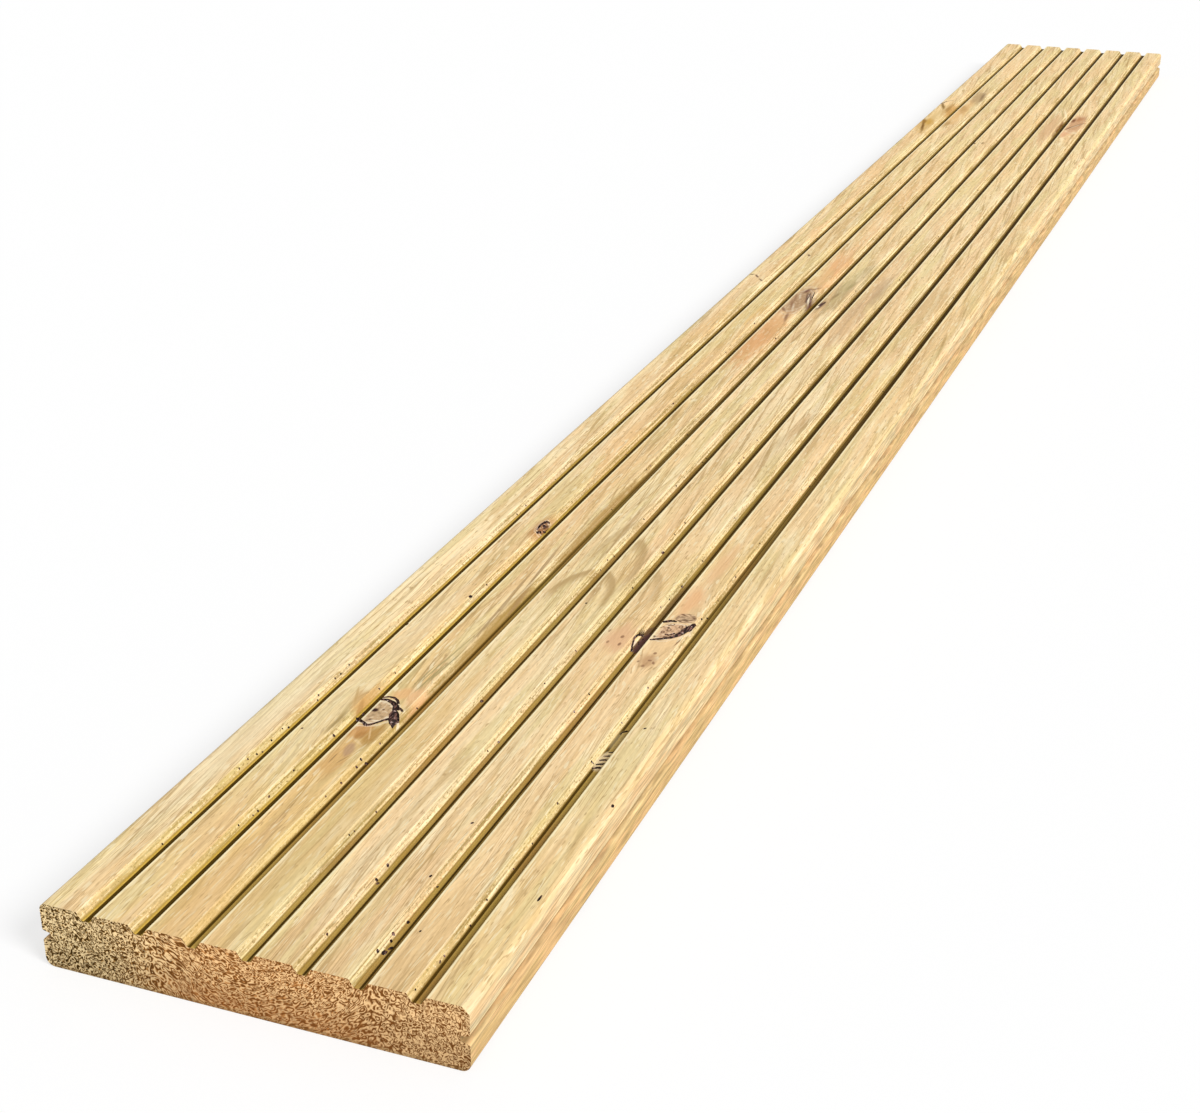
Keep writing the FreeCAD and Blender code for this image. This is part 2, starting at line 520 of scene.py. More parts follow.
# Growth rings round a pith that lay above the grooved face. They sway along the board and part round knots.
PITH_ACROSS = 2.0
PITH_HEIGHT = 45.0
RING_WIDTH = 1.8
RING_SWAYS = [
    # size, run along the board, amount, start of the pattern
    (70, 620, 16, (3, 1, 2)),
    (14, 110, 6, (7, 2, 5)),
    (3.5, 22, 0.8, (1, 8, 4)),
]
KNOTS = [
    # across, along, half across, half along, turn, how far the grain parts
    (38.2, 140.9, 8.2, 9, 0, 7),
    (114.6, 237.6, 5.3, 8.6, -25, 5),
    (31.3, 312, 2.2, 6, 0, 2),
    (43, 660, 6, 24, 0, 5),
    (6, 1150, 7, 30, 0, 5),
    (115, 1177, 6, 26, 0, 5),
]
CREAM = (0.895, 0.7, 0.4)
STRAW = (0.825, 0.605, 0.3)
PINK = (0.865, 0.615, 0.355)
GREENISH = (0.77, 0.62, 0.3)
PEACH = (0.87, 0.59, 0.31)
TAN = (0.77, 0.515, 0.215)
LATE = (0.59, 0.385, 0.16)
ORANGE = (0.8, 0.49, 0.215)
OLIVE = (0.72, 0.57, 0.25)
RING_BROWN = (0.45, 0.29, 0.115)
SMUDGE = (0.62, 0.42, 0.18)
PALE_STREAK = (0.96, 0.8, 0.51)
GRAIN_SLANT = 5.0
DUCT = (0.44, 0.28, 0.12)
FLECK = (0.98, 0.85, 0.56)
TONES = [
    # across, along, half across, half along, share, colour
    (6, 230, 10, 330, 0.75, (0.95, 0.775, 0.47)),
    (26, 165, 9, 120, 0.5, (0.9, 0.725, 0.42)),
    (86, 150, 20, 170, 0.6, (0.945, 0.765, 0.48)),
    (124, 150, 20, 80, 0.5, (0.94, 0.76, 0.46)),
    (98, 450, 10, 200, 0.65, (0.955, 0.745, 0.465)),
    (80, 500, 24, 130, 0.5, (0.94, 0.76, 0.465)),
    (62, 1190, 9, 200, 0.65, (0.945, 0.755, 0.46)),
    (33, 130, 18, 330, 0.6, (0.79, 0.565, 0.24)),
    (36, 430, 13, 130, 0.6, (0.75, 0.51, 0.215)),
    (60, 330, 8, 200, 0.45, (0.83, 0.65, 0.33)),
    (134, 330, 9, 260, 0.5, (0.925, 0.735, 0.425)),
    (50, 60, 19, 160, 0.7, TAN),
    (42, 60, 7, 120, 0.5, TAN),
    (97, 30, 9, 70, 0.65, (0.79, 0.53, 0.275)),
    (116, 20, 9, 60, 0.55, (0.74, 0.51, 0.24)),
    (133, 20, 9, 60, 0.5, (0.77, 0.54, 0.245)),
    (97, 225, 9, 80, 0.55, PEACH),
    (43, 290, 7, 60, 0.5, PEACH),
    (41, 370, 7, 70, 0.5, PEACH),
    (28, 404, 5, 60, 0.55, ORANGE),
    (10, 400, 3, 90, 0.5, ORANGE),
    (70, 1330, 90, 300, 0.45, (0.77, 0.58, 0.3)),
    (132, 1000, 12, 480, 0.4, (0.8, 0.62, 0.32)),
    (27, 760, 7.5, 330, 0.6, (0.76, 0.535, 0.245)),
    (43, 800, 7.5, 330, 0.6, (0.79, 0.535, 0.26)),
    (80, 720, 8, 220, 0.55, (0.74, 0.51, 0.275)),
    (61, 800, 7, 330, 0.4, (0.83, 0.65, 0.33)),
    (27, 520, 7, 70, 0.6, (0.72, 0.48, 0.2)),
    (43, 510, 7, 30, 0.3, (0.66, 0.43, 0.19)),
    (10, 590, 6, 80, 0.65, (0.75, 0.5, 0.2)),
    (42, 588, 10, 70, 0.9, (0.76, 0.425, 0.195)),
    (45, 722, 8, 70, 0.8, (0.79, 0.455, 0.215)),
    (46, 860, 4, 130, 0.5, (0.83, 0.51, 0.25)),
    (11.5, 800, 3, 170, 0.55, ORANGE),
    (9, 960, 4, 60, 0.5, ORANGE),
    (27, 900, 7, 70, 0.45, (0.72, 0.49, 0.22)),
    (61, 674, 9, 52, 0.8, (0.5, 0.365, 0.185)),
    (64, 712, 6, 50, 0.6, (0.52, 0.41, 0.215)),
    (57, 628, 6, 50, 0.6, (0.74, 0.48, 0.26)),
    (26, 610, 8, 60, 0.6, (0.71, 0.46, 0.165)),
    (80, 640, 10, 80, 0.6, (0.65, 0.44, 0.24)),
    (82, 694, 6, 40, 0.7, (0.53, 0.365, 0.205)),
    (97, 620, 8, 130, 0.45, (0.86, 0.6, 0.33)),
    (96, 820, 6, 120, 0.45, CREAM),
    (115, 680, 9, 55, 0.6, (0.67, 0.48, 0.22)),
    (113, 615, 5, 40, 0.4, OLIVE),
    (120, 520, 16, 40, 0.4, TAN),
    (128, 850, 12, 40, 0.4, CREAM),
    (80, 1080, 8, 90, 0.45, (0.83, 0.56, 0.32)),
    (97, 1140, 8, 80, 0.45, (0.8, 0.53, 0.3)),
    (43, 1250, 8, 90, 0.5, (0.78, 0.53, 0.26)),
    (26, 1190, 7, 70, 0.5, (0.82, 0.55, 0.25)),
    (43, 1400, 9, 120, 0.45, TAN),
    (97, 1250, 7, 40, 0.4, OLIVE),
    (115, 1400, 20, 110, 0.45, OLIVE),
]


def in_zone(along, half_along, first, last):
    """True where a mark reaches into the stretch between two distances from the near end."""
    return along + STAIN_REACH * half_along > first and along - STAIN_REACH * half_along < last


def plain_wood(material, first, last):
    """Starts a material with the bare planed wood for one stretch of the board."""
    global tree, place, ragged
    material.use_nodes = True
    tree = material.node_tree
    object_place = shade("TexCoord", {}).outputs["Object"]
    place = shade("Mapping", {"Vector": object_place, "Scale": (1 / MM, 1 / MM, 1 / MM)}).outputs[0]
    ragged = spread(cloud(place, 2.5, 14, 2.5, 2.0, (9, 9, 0)), 0.9)
    wood = SimpleNamespace(first=first, last=last, knots={})
    wood.across, wood.along, wood.height = shade("SeparateXYZ", {0: place}).outputs
    wood.from_near_end = plus(wood.along, MID_ALONG)

    ring_across = plus(wood.across, -PITH_ACROSS)
    for size, run, amount, start in RING_SWAYS:
        ring_across = plus(ring_across, spread(cloud(place, size, run, size, 0.0, start), amount))
    for number, (knot_across, knot_along, half_across, half_along, turn, parting) in enumerate(KNOTS):
        if not in_zone(knot_along, half_along * 4, first, last):
            continue
        wood.knots[number] = oval(knot_across, knot_along, half_across, half_along, turn)
        distance = oval(knot_across, knot_along, half_across * 1.6, half_along * 3.2, reach=3.0)
        nearness = calc("EXPONENT", times(times(distance, distance), -0.6))
        sideways = times(plus(wood.across, MID_ACROSS - knot_across), 1 / (half_across * 1.6))
        ring_across = plus(ring_across, times(times(sideways, nearness), -1.6 * parting))
    pith_rise = times(ease(wood.from_near_end, 150, 500), 10)
    depth_sway = spread(cloud(place, 40, 260, 40, 0.0, (2, 6, 9)), 5)
    ring_height = plus(plus(less(PITH_HEIGHT, wood.height), pith_rise), depth_sway)
    ring_place = shade("CombineXYZ", {0: ring_across, 2: ring_height}).outputs[0]
    radius = shade("VectorMath", {0: ring_place}, operation="LENGTH").outputs["Value"]
    phase = times(radius, 1 / RING_WIDTH)
    in_ring = calc("FRACT", phase)
    strength = shade("TexWhiteNoise", {"W": calc("FLOOR", phase)}, noise_dimensions="1D").outputs[0]
    fading = plus(times(cloud(place, 9, 170, 9, 1.0, (4, 4, 1)), 1.6), -0.1)
    strength = times(plus(times(strength, 0.75), 0.25), fading)
    wood.latewood = times(ridge(in_ring, 0.25, 0.9, 0.93, 1.0), strength)
    ring_line = times(ridge(in_ring, 0.76, 0.88, 0.93, 1.0), strength)
    wood.radius = radius
    wood.arc = times(calc("ARCTAN2", ring_across, ring_height), PITH_HEIGHT)

    grain_place = shade("CombineXYZ", {0: ring_across, 1: wood.along, 2: wood.height}).outputs[0]
    colour = paint(CREAM, STRAW, ease(cloud(grain_place, 40, 420, 60, 1.0), 0.36, 0.66))
    blush = ease(cloud(grain_place, 24, 260, 34, 1.0, (5, 0, 3)), 0.46, 0.64)
    colour = paint(colour, PINK, times(blush, 0.6))
    for across, along, half_across, half_along, share, tone in TONES:
        if in_zone(along, half_along, first, last):
            colour = stain(colour, across, along, half_across, half_along, 0, share, tone, inner=0.45)
    slanted = shade("Mapping", {"Vector": place, "Rotation": (0, 0, math.radians(-GRAIN_SLANT))}).outputs[0]
    smudge = cloud(slanted, 3.2, 55, 3.2, 1.0, (2, 5, 1))
    colour = paint(colour, SMUDGE, times(ease(smudge, 0.53, 0.70), 0.60))
    colour = paint(colour, PALE_STREAK, times(ease(smudge, 0.46, 0.33), 0.55))
    slant_lines = calc("ABSOLUTE", plus(cloud(slanted, 3.2, 150, 3.2, 1.0, (6, 6, 3)), -0.5))
    slant_share = times(ease(cloud(place, 30, 170, 30, 0.0, (5, 1, 5)), 0.30, 0.55), 0.65)
    colour = paint(colour, RING_BROWN, times(ease(slant_lines, 0.034, 0.010), slant_share))
    mottle = cloud(grain_place, 6, 75, 6, 1.0, (1, 2, 9))
    colour = paint(colour, PEACH, times(ease(mottle, 0.50, 0.64), 0.50))
    colour = paint(colour, GREENISH, times(ease(mottle, 0.48, 0.34), 0.60))
    colour = paint(colour, LATE, times(wood.latewood, 0.28))
    clear_grain = ease(oval(12.0, 165.0, 20.0, 150.0), 1.0, 0.2)
    colour = paint(colour, RING_BROWN, times(ring_line, plus(times(clear_grain, 0.90), 0.30)))
    wood.fibre = cloud(grain_place, 0.6, 40, 0.6, 2.0, (3, 3, 3), 0.6)
    wood.streak = cloud(grain_place, 2.2, 190, 2.2, 2.0, (8, 1, 7), 0.6)
    grit = cloud(place, 0.8, 2.4, 0.8, 0.0, (9, 4, 4))
    shine = plus(plus(spread(wood.fibre, 0.42), spread(wood.streak, 0.62)), plus(spread(grit, 0.16), 1.045))
    colour = brighten(colour, shine)
    hairlines = ease(cloud(grain_place, 0.45, 60, 0.45, 0.0, (6, 2, 2)), 0.67, 0.76)
    colour = paint(colour, DUCT, times(hairlines, 0.50))
    ducts = ease(cloud(grain_place, 0.55, 6, 0.55, 0.0, (1, 2, 6)), 0.68, 0.75)
    colour = paint(colour, DUCT, times(ducts, 0.55))
    flecks = ease(cloud(grain_place, 0.6, 7, 0.6, 0.0, (2, 7, 1)), 0.66, 0.74)
    wood.colour = paint(colour, FLECK, times(flecks, 0.55))
    return wood


def finish_wood(wood, roughness):
    """Joins the finished colour to the material's surface, dry and slightly furry."""
    surface = tree.nodes["Principled BSDF"]
    tree.links.new(wood.colour, surface.inputs["Base Color"])
    surface.inputs["Roughness"].default_value = roughness
    surface.inputs["Specular IOR Level"].default_value = 0.02
    relief = times(cloud(place, 0.6, 18, 0.6, 0.0, (3, 3, 3)), 0.10)
    relief = plus(relief, times(cloud(place, 0.8, 1.6, 0.8, 0.0, (1, 5, 5)), 0.10))
    bump = shade("Bump", {"Height": relief, "Distance": MM, "Strength": 0.8})
    tree.links.new(bump.outputs[0], surface.inputs["Normal"])


# Marks on the grooved face: arched bands where it grazes the rings, then the knots' stain, hearts and lines.
ARCHES = [
    # across, along, half across, half along, side of the middle (0 for both), share
    (70.6, 250, 12.6, 30.6, 0, 0.85),
    (72, 290, 11.5, 48, -1, 0.55),
    (74, 270, 11.5, 44, 1, 0.75),
    (86, 255, 14.3, 36, 1, 0.55),
    (107, 385, 15, 105, -1, 0.35),
]
ARCH_BROWN = (0.5, 0.335, 0.145)
HALOS = [
    # across, along, half across, half along, turn, share, colour
    (61, 80, 9, 150, 0, 0.38, (0.69, 0.485, 0.195)),
    (43, 20, 8, 60, 0, 0.35, (0.7, 0.455, 0.185)),
    (97, 10, 8, 60, 0, 0.25, (0.72, 0.5, 0.26)),
    (115, 10, 8, 60, 0, 0.25, (0.7, 0.49, 0.23)),
    (50, 60, 3, 120, 0, 0.4, (0.62, 0.41, 0.12)),
    (6, 125, 8, 90, 0, 0.45, (0.98, 0.835, 0.55)),
    (25, 160, 7, 110, 0, 0.35, (0.95, 0.8, 0.51)),
    (42.5, 108, 5.5, 20, 0, 0.75, (0.68, 0.4, 0.15)),
    (41, 127.6, 6, 8.5, 0, 0.85, (0.56, 0.27, 0.085)),
    (46.2, 126.5, 3.8, 12, 0, 0.8, (0.45, 0.235, 0.055)),
    (43, 156.5, 5, 6.5, 0, 0.8, (0.84, 0.49, 0.22)),
    (48.5, 156, 4.5, 10, 0, 0.85, (0.85, 0.52, 0.26)),
    (51.5, 151, 2.6, 14, 0, 0.85, (0.7, 0.36, 0.15)),
    (30.6, 147, 3.8, 11, 14, 0.75, (0.61, 0.35, 0.125)),
    (32, 152, 2.2, 13, 4, 0.7, (0.64, 0.37, 0.13)),
    (30.2, 129, 1.6, 12, 0, 0.8, (0.38, 0.27, 0.115)),
    (98.6, 225.5, 6, 17, 0, 0.8, (0.78, 0.47, 0.26)),
    (114.6, 212, 4.4, 8, 0, 0.85, (0.56, 0.33, 0.165)),
    (113.5, 266, 5.5, 18, 0, 0.85, (0.85, 0.5, 0.25)),
    (114, 302, 4.5, 28, 0, 0.7, (0.85, 0.53, 0.27)),
    (122.8, 230.5, 1.2, 6, 0, 0.6, (0.64, 0.38, 0.19)),
    (30.6, 310, 3.8, 18, 0, 0.85, (0.53, 0.27, 0.1)),
    (50.8, 214, 3.4, 74, 0, 0.85, (0.4, 0.25, 0.075)),
    (50.4, 330, 2.6, 80, 0, 0.75, (0.36, 0.205, 0.06)),
    (61, 674, 8, 48, 0, 0.4, (0.46, 0.33, 0.16)),
    (64, 714, 6, 48, -4, 0.35, (0.5, 0.395, 0.2)),
    (82, 694, 6, 40, 4, 0.55, (0.52, 0.36, 0.2)),
    (80, 640, 9, 60, 0, 0.35, (0.6, 0.4, 0.215)),
    (42, 592, 9, 60, 0, 0.6, (0.74, 0.395, 0.17)),
    (45, 726, 8, 55, 0, 0.55, (0.78, 0.435, 0.2)),
    (115, 684, 8, 46, 0, 0.35, (0.6, 0.42, 0.2)),
    (43, 661, 9, 40, 0, 0.9, (0.52, 0.32, 0.175)),
    (6, 1140, 8, 50, 8, 0.7, (0.66, 0.42, 0.14)),
    (9, 1180, 8, 50, 0, 0.5, (0.85, 0.58, 0.27)),
    (13, 1200, 5.5, 34, 0, 0.9, (0.56, 0.32, 0.105)),
    (23.5, 1190, 7, 70, 0, 0.75, (0.8, 0.5, 0.215)),
    (25, 1250, 7, 36, 6, 0.8, (0.48, 0.325, 0.16)),
    (115, 1172, 8.5, 52, 0, 0.85, (0.7, 0.4, 0.205)),
    (99, 1160, 7, 70, 0, 0.65, (0.69, 0.43, 0.225)),
    (105, 1168, 2.2, 54, 0, 0.95, (0.17, 0.065, 0.015)),
]
HEARTS = [
    # knot number, share, colour, rings, depth of the rings
    (0, 0.95, (0.6, 0.405, 0.225), 7, 0.2),
    (1, 0.95, (0.74, 0.47, 0.275), 12, 0.15),
    (2, 0.8, (0.3, 0.13, 0.06), 10, 0.5),
    (3, 0.5, (0.5, 0.32, 0.17), 22, 0.65),
    (5, 0.3, (0.5, 0.24, 0.11), 14, 0.7),
]
DARK_LINE = (0.13, 0.06, 0.035)
PALE_LINE = (0.96, 0.82, 0.6)
GREY_LINE = (0.4, 0.32, 0.14)
HATCH_DARK = (0.17, 0.085, 0.045)
HATCH_PALE = (0.76, 0.52, 0.31)
BROWN_LINE = (0.33, 0.2, 0.085)
SPECK = (0.3, 0.155, 0.08)
RED_LINE = (0.17, 0.065, 0.025)
NEAR_STROKE_CORE = 0.45
FAR_STROKE_CORE = 0.10
STROKES = [
    # across, along, half across, half along, turn, share, colour
    (38.7, 142.2, 1.9, 1.8, 30, 1, (0.05, 0.02, 0.015)),
    (41.4, 143.6, 0.6, 0.8, 0, 0.8, DARK_LINE),
    (40.2, 135.6, 0.7, 0.9, 0, 0.8, DARK_LINE),
    (42.4, 135.6, 2.6, 0.5, 12, 0.8, PALE_LINE),
    (43.3, 114.5, 2.6, 6, 12, 0.55, (0.4, 0.25, 0.18)),
    (43, 120.4, 0.9, 4.6, 54, 0.4, (0.88, 0.66, 0.39)),
    (42.4, 124.2, 2.2, 4.2, -12, 0.55, (0.42, 0.205, 0.06)),
    (44.6, 127, 0.5, 6.4, 22, 0.5, (0.88, 0.62, 0.33)),
    (39.4, 124.8, 1, 3.4, 10, 0.45, (0.84, 0.52, 0.23)),
    (40.8, 107.5, 0.35, 4.4, 0, 0.75, BROWN_LINE),
    (44.4, 107.8, 0.35, 4.6, -17, 0.6, BROWN_LINE),
    (50.3, 136.6, 0.6, 4, 20, 0.7, PALE_LINE),
    (29.4, 136, 1, 11, 6, 0.5, (0.42, 0.29, 0.11)),
    (32, 144, 0.8, 6, 10, 0.65, (0.44, 0.24, 0.08)),
    (27.6, 150, 0.7, 8, 20, 0.6, (0.56, 0.36, 0.14)),
    (46.5, 172, 0.55, 16, -3, 0.8, GREY_LINE),
    (47.8, 180, 0.5, 18, -3, 0.8, GREY_LINE),
    (45.1, 178, 0.45, 16, -3, 0.75, GREY_LINE),
    (43.7, 172, 0.4, 13, -3, 0.65, GREY_LINE),
    (46.4, 196, 0.45, 18, -3, 0.65, GREY_LINE),
    (46.6, 236, 0.8, 46, 3, 0.65, BROWN_LINE),
    (48.2, 264, 0.9, 52, 4, 0.65, BROWN_LINE),
    (99.3, 226.9, 0.9, 1.7, 0, 0.85, SPECK),
    (100.4, 220.8, 0.8, 1.8, 0, 0.85, SPECK),
    (95.6, 221, 0.7, 1.5, 0, 0.7, SPECK),
    (93, 230, 0.6, 1.6, 0, 0.6, SPECK),
    (115.4, 218.5, 0.9, 1.3, 0, 0.8, SPECK),
    (115.5, 212.4, 1, 1, 0, 0.8, SPECK),
    (117.4, 210.9, 0.7, 1.6, 20, 0.8, SPECK),
    (111.8, 210.2, 0.6, 1.2, 0, 0.75, SPECK),
    (114.5, 207.4, 0.8, 1.4, 0, 0.7, SPECK),
    (120.2, 229.9, 0.35, 4.4, -6, 0.8, SPECK),
    (104.2, 226.6, 0.7, 3, 0, 0.75, (0.8, 0.64, 0.48)),
    (46.4, 665, 1.7, 19, 13, 0.95, DARK_LINE),
    (49, 661, 1.9, 20, 13, 1, DARK_LINE),
    (47.7, 663, 1.1, 14, 13, 1, PALE_LINE),
    (42.4, 679, 2.4, 8, -8, 0.95, (0.19, 0.085, 0.055)),
    (45.6, 684, 1.6, 6, -40, 0.85, SPECK),
    (39.6, 641, 1.7, 7, 24, 0.95, SPECK),
    (45.2, 627, 1.4, 14, 10, 0.85, SPECK),
    (41.2, 652, 1.4, 12, 14, 0.85, SPECK),
    (43.6, 646, 1.1, 11, 12, 0.45, PALE_LINE),
    (39.8, 664, 1.3, 12, 10, 0.75, SPECK),
    (41.4, 668, 1, 9, 12, 0.4, PALE_LINE),
    (57, 656, 2.6, 11, 0, 1, (0.09, 0.035, 0.035)),
    (56.2, 652, 1, 3.6, 0, 1, PALE_LINE),
    (60.4, 676, 1.6, 13, -6, 0.75, (0.32, 0.21, 0.095)),
    (63.5, 696, 1.8, 18, -8, 0.65, GREY_LINE),
    (59.4, 700, 1.2, 12, -4, 0.6, GREY_LINE),
    (51, 655, 3, 24, 0, 0.85, (0.13, 0.05, 0.03)),
    (3.1, 699.8, 1.2, 2.6, -32, 0.95, DARK_LINE),
    (6.6, 697.4, 1.2, 4.9, 31, 0.95, DARK_LINE),
    (11.2, 690.4, 1.2, 3.8, 35, 0.95, DARK_LINE),
    (23, 751, 1.3, 3.4, 20, 0.95, DARK_LINE),
    (7.2, 1144, 5.2, 19, 6, 0.85, (0.6, 0.35, 0.07)),
    (6, 1131, 1.9, 36, 10, 1, (0.23, 0.115, 0.025)),
    (3.6, 1147, 2.6, 14, 6, 0.95, (0.33, 0.165, 0.025)),
    (2.4, 1160, 2.2, 12, 8, 0.7, (0.93, 0.74, 0.43)),
    (5, 1207, 2.2, 20, 15, 0.95, (0.26, 0.14, 0.03)),
    (12, 1196, 3, 16, 6, 0.85, (0.45, 0.255, 0.08)),
    (22, 1143, 3.6, 18, 0, 0.8, (0.48, 0.29, 0.11)),
    (23.5, 1199, 4.6, 24, 8, 0.8, (0.54, 0.32, 0.115)),
    (26.5, 1172, 1.8, 18, 8, 0.6, (0.93, 0.74, 0.43)),
    (27.5, 1254, 2.2, 26, 4, 0.8, (0.25, 0.15, 0.07)),
    (112, 1140, 4, 16, 0, 0.75, (0.8, 0.44, 0.24)),
    (112.8, 1163, 1.7, 14, -16, 0.9, RED_LINE),
    (115.6, 1170, 1.6, 15, -16, 0.9, RED_LINE),
    (118.2, 1176, 1.5, 13, -16, 0.8, RED_LINE),
    (114.4, 1166, 1, 13, -16, 0.7, (0.9, 0.68, 0.42)),
    (117.2, 1173, 0.9, 12, -16, 0.7, (0.9, 0.68, 0.42)),
    (115.6, 1197, 4.4, 15, 0, 0.9, (0.5, 0.23, 0.1)),
    (111.4, 1190, 2.4, 11, 0, 1, (0.22, 0.085, 0.035)),
    (101.4, 1214, 1.5, 26, 12, 0.8, (0.96, 0.82, 0.52)),
    (99.4, 1212, 1.2, 30, 12, 0.55, GREY_LINE),
    (61, 1088, 1.6, 6, 0, 0.85, BROWN_LINE),
]


def knot_hearts(wood, colour):
    """Paints the sawn-through branches: ringed and blotched brown wood with a pale rim."""
    worn = spread(cloud(place, 1.6, 2.4, 1.6, 1.0, (2, 0, 8)), 0.24)
    blotch = cloud(place, 1.3, 1.8, 1.3, 0.0, (5, 5, 1))
    for number, share, heart, rings, ring_depth in HEARTS:
        if number not in wood.knots:
            continue
        distance = plus(wood.knots[number], worn)
        ring_lines = times(plus(calc("SINE", times(distance, rings)), 1.0), 0.5)
        ring_brown = [part * 0.55 for part in heart]
        blotch_brown = [part * 0.5 for part in heart]
        heart_colour = paint(heart, ring_brown, times(ring_lines, ring_depth))
        heart_colour = paint(heart_colour, blotch_brown, times(ease(blotch, 0.58, 0.68), 0.6))
        heart_colour = paint(heart_colour, PALE_LINE, times(ease(blotch, 0.42, 0.32), 0.35))
        heart_colour = paint(heart_colour, PALE_LINE, times(ridge(distance, 0.80, 0.88, 0.94, 1.0), 0.6))
        knot_middle = KNOTS[number][0] - MID_ACROSS
        beside_groove = ease(wood.across, knot_middle - 4.6, knot_middle - 3.0)
        colour = paint(colour, heart_colour, times(times(ease(distance, 1.02, 0.93), share), beside_groove))
        rim = times(ridge(distance, 1.08, 1.13, 1.18, 1.26), beside_groove)
        colour = paint(colour, PALE_LINE, times(rim, 0.5 * share))
    return colour


def bubbled_heart(wood, colour):
    """Paints the dark resin bubbles in the second knot and the hatched saw marks at its far end."""
    bubbles = shade("TexVoronoi", {"Vector": stretch(place, 2.2, 3.0, 2.2), "Scale": 1.0}).outputs["Distance"]
    in_heart = ease(wood.knots[1], 0.98, 0.90)
    colour = paint(colour, DARK_LINE, times(times(ridge(bubbles, 0.20, 0.28, 0.38, 0.48), in_heart), 0.80))
    hatch = ease(cloud(place, 2.4, 0.5, 2.4, 0.0, (3, 1, 4)), 0.44, 0.60)
    hatched = ease(plus(oval(116.6, 250.0, 4.2, 4.8), times(ragged, 0.5)), 1.0, 0.75)
    hatch_colour = paint(HATCH_DARK, HATCH_PALE, hatch)
    return paint(colour, hatch_colour, times(hatched, 0.9))


def arched_bands(wood, colour):
    """Paints the broad soft bands where the face runs level with a ring."""
    for arch_across, arch_along, half_across, half_along, side, share in ARCHES:
        if not in_zone(arch_along, half_along, wood.first, wood.last):
            continue
        distance = plus(oval(arch_across, arch_along, half_across, half_along), times(ragged, 0.10))
        band = ridge(distance, 0.64, 0.91, 0.96, 1.05)
        fade = 0.3 * half_along
        band = times(band, ease(wood.from_near_end, arch_along - fade, arch_along + fade))
        if side:
            middle_line = arch_across - MID_ACROSS
            band = times(band, ease(wood.across, middle_line - side, middle_line + side))
        colour = paint(colour, ARCH_BROWN, times(band, share))
    return colour


WALL_YELLOW = (0.64, 0.48, 0.15)
WALL_BROWN = (0.4, 0.27, 0.07)
WALL_SPECK = (0.33, 0.22, 0.07)
# groove floor colours: partly the wood's own olive and brown, partly darkened as painted shade
FLOOR_OLIVE = (0.48, 0.32, 0.07)
FLOOR_BROWN = (0.44, 0.255, 0.06)
FLOOR_GOLD = (0.8, 0.53, 0.09)
# painted shade for the far floors, and the painted shadow and shade lines in the grooves
FAR_FLOOR_SHADE = (0.2, 0.12, 0.015)
FLOOR_SHADOW_LINE = (0.055, 0.027, 0.001)
ROOT_SHADE_LINE = (0.12, 0.065, 0.01)
FLOOR_ROT = (0.11, 0.05, 0.035)
FLOOR_STAIN = (0.2, 0.105, 0.045)
WALL_ROT = (0.11, 0.05, 0.045)
# painted highlights along the groove crests
RIGHT_CREST_HIGHLIGHT = (1, 0.89, 0.58)
LEFT_CREST_HIGHLIGHT = (1, 0.88, 0.57)


def groove_walls(wood, colour):
    """Paints the groove walls: darker overall with painted light towards the foot against the shade there,
    streaked, yellower at the near end, with small dark and pale specks.
    """
    speckle = cloud(place, 0.6, 1.3, 0.6, 1.0, (1, 5, 5), 0.6)
    wall_lines = cloud(place, 0.6, 45, 0.6, 1.0, (6, 1, 3))
    # the walls are darker overall and paler towards the foot: painted light over the shade that falls there
    foot_painted_light = plus(times(ease(wood.height, 21.0, 19.6), 0.20), -0.17)
    value = plus(plus(spread(wall_lines, 1.5), spread(speckle, 0.7)), foot_painted_light)
    colour = brighten(colour, plus(times(value, wood.wall), 1.0))
    yellow_left = ease(oval(25.0, 60.0, 32.0, 150.0), 1.0, 0.4)
    yellow_right = ease(oval(123.0, 50.0, 9.0, 150.0), 1.0, 0.4)
    yellow = plus(times(calc("MAXIMUM", yellow_left, yellow_right), 0.25), 0.12)
    yellow = times(yellow, plus(spread(cloud(place, 3.0, 40, 3.0, 1.0, (4, 2, 3)), 3.0), 1.0))
    colour = paint(colour, WALL_YELLOW, times(wood.wall, yellow))
    colour = paint(colour, WALL_BROWN, times(times(ease(wall_lines, 0.40, 0.30), wood.wall), 0.7))
    colour = paint(colour, FLECK, times(times(ease(wall_lines, 0.60, 0.72), wood.wall), 0.4))
    colour = paint(colour, WALL_SPECK, times(times(ease(speckle, 0.36, 0.29), wood.wall), 0.75))
    return paint(colour, FLECK, times(times(ease(speckle, 0.64, 0.72), wood.wall), 0.6))


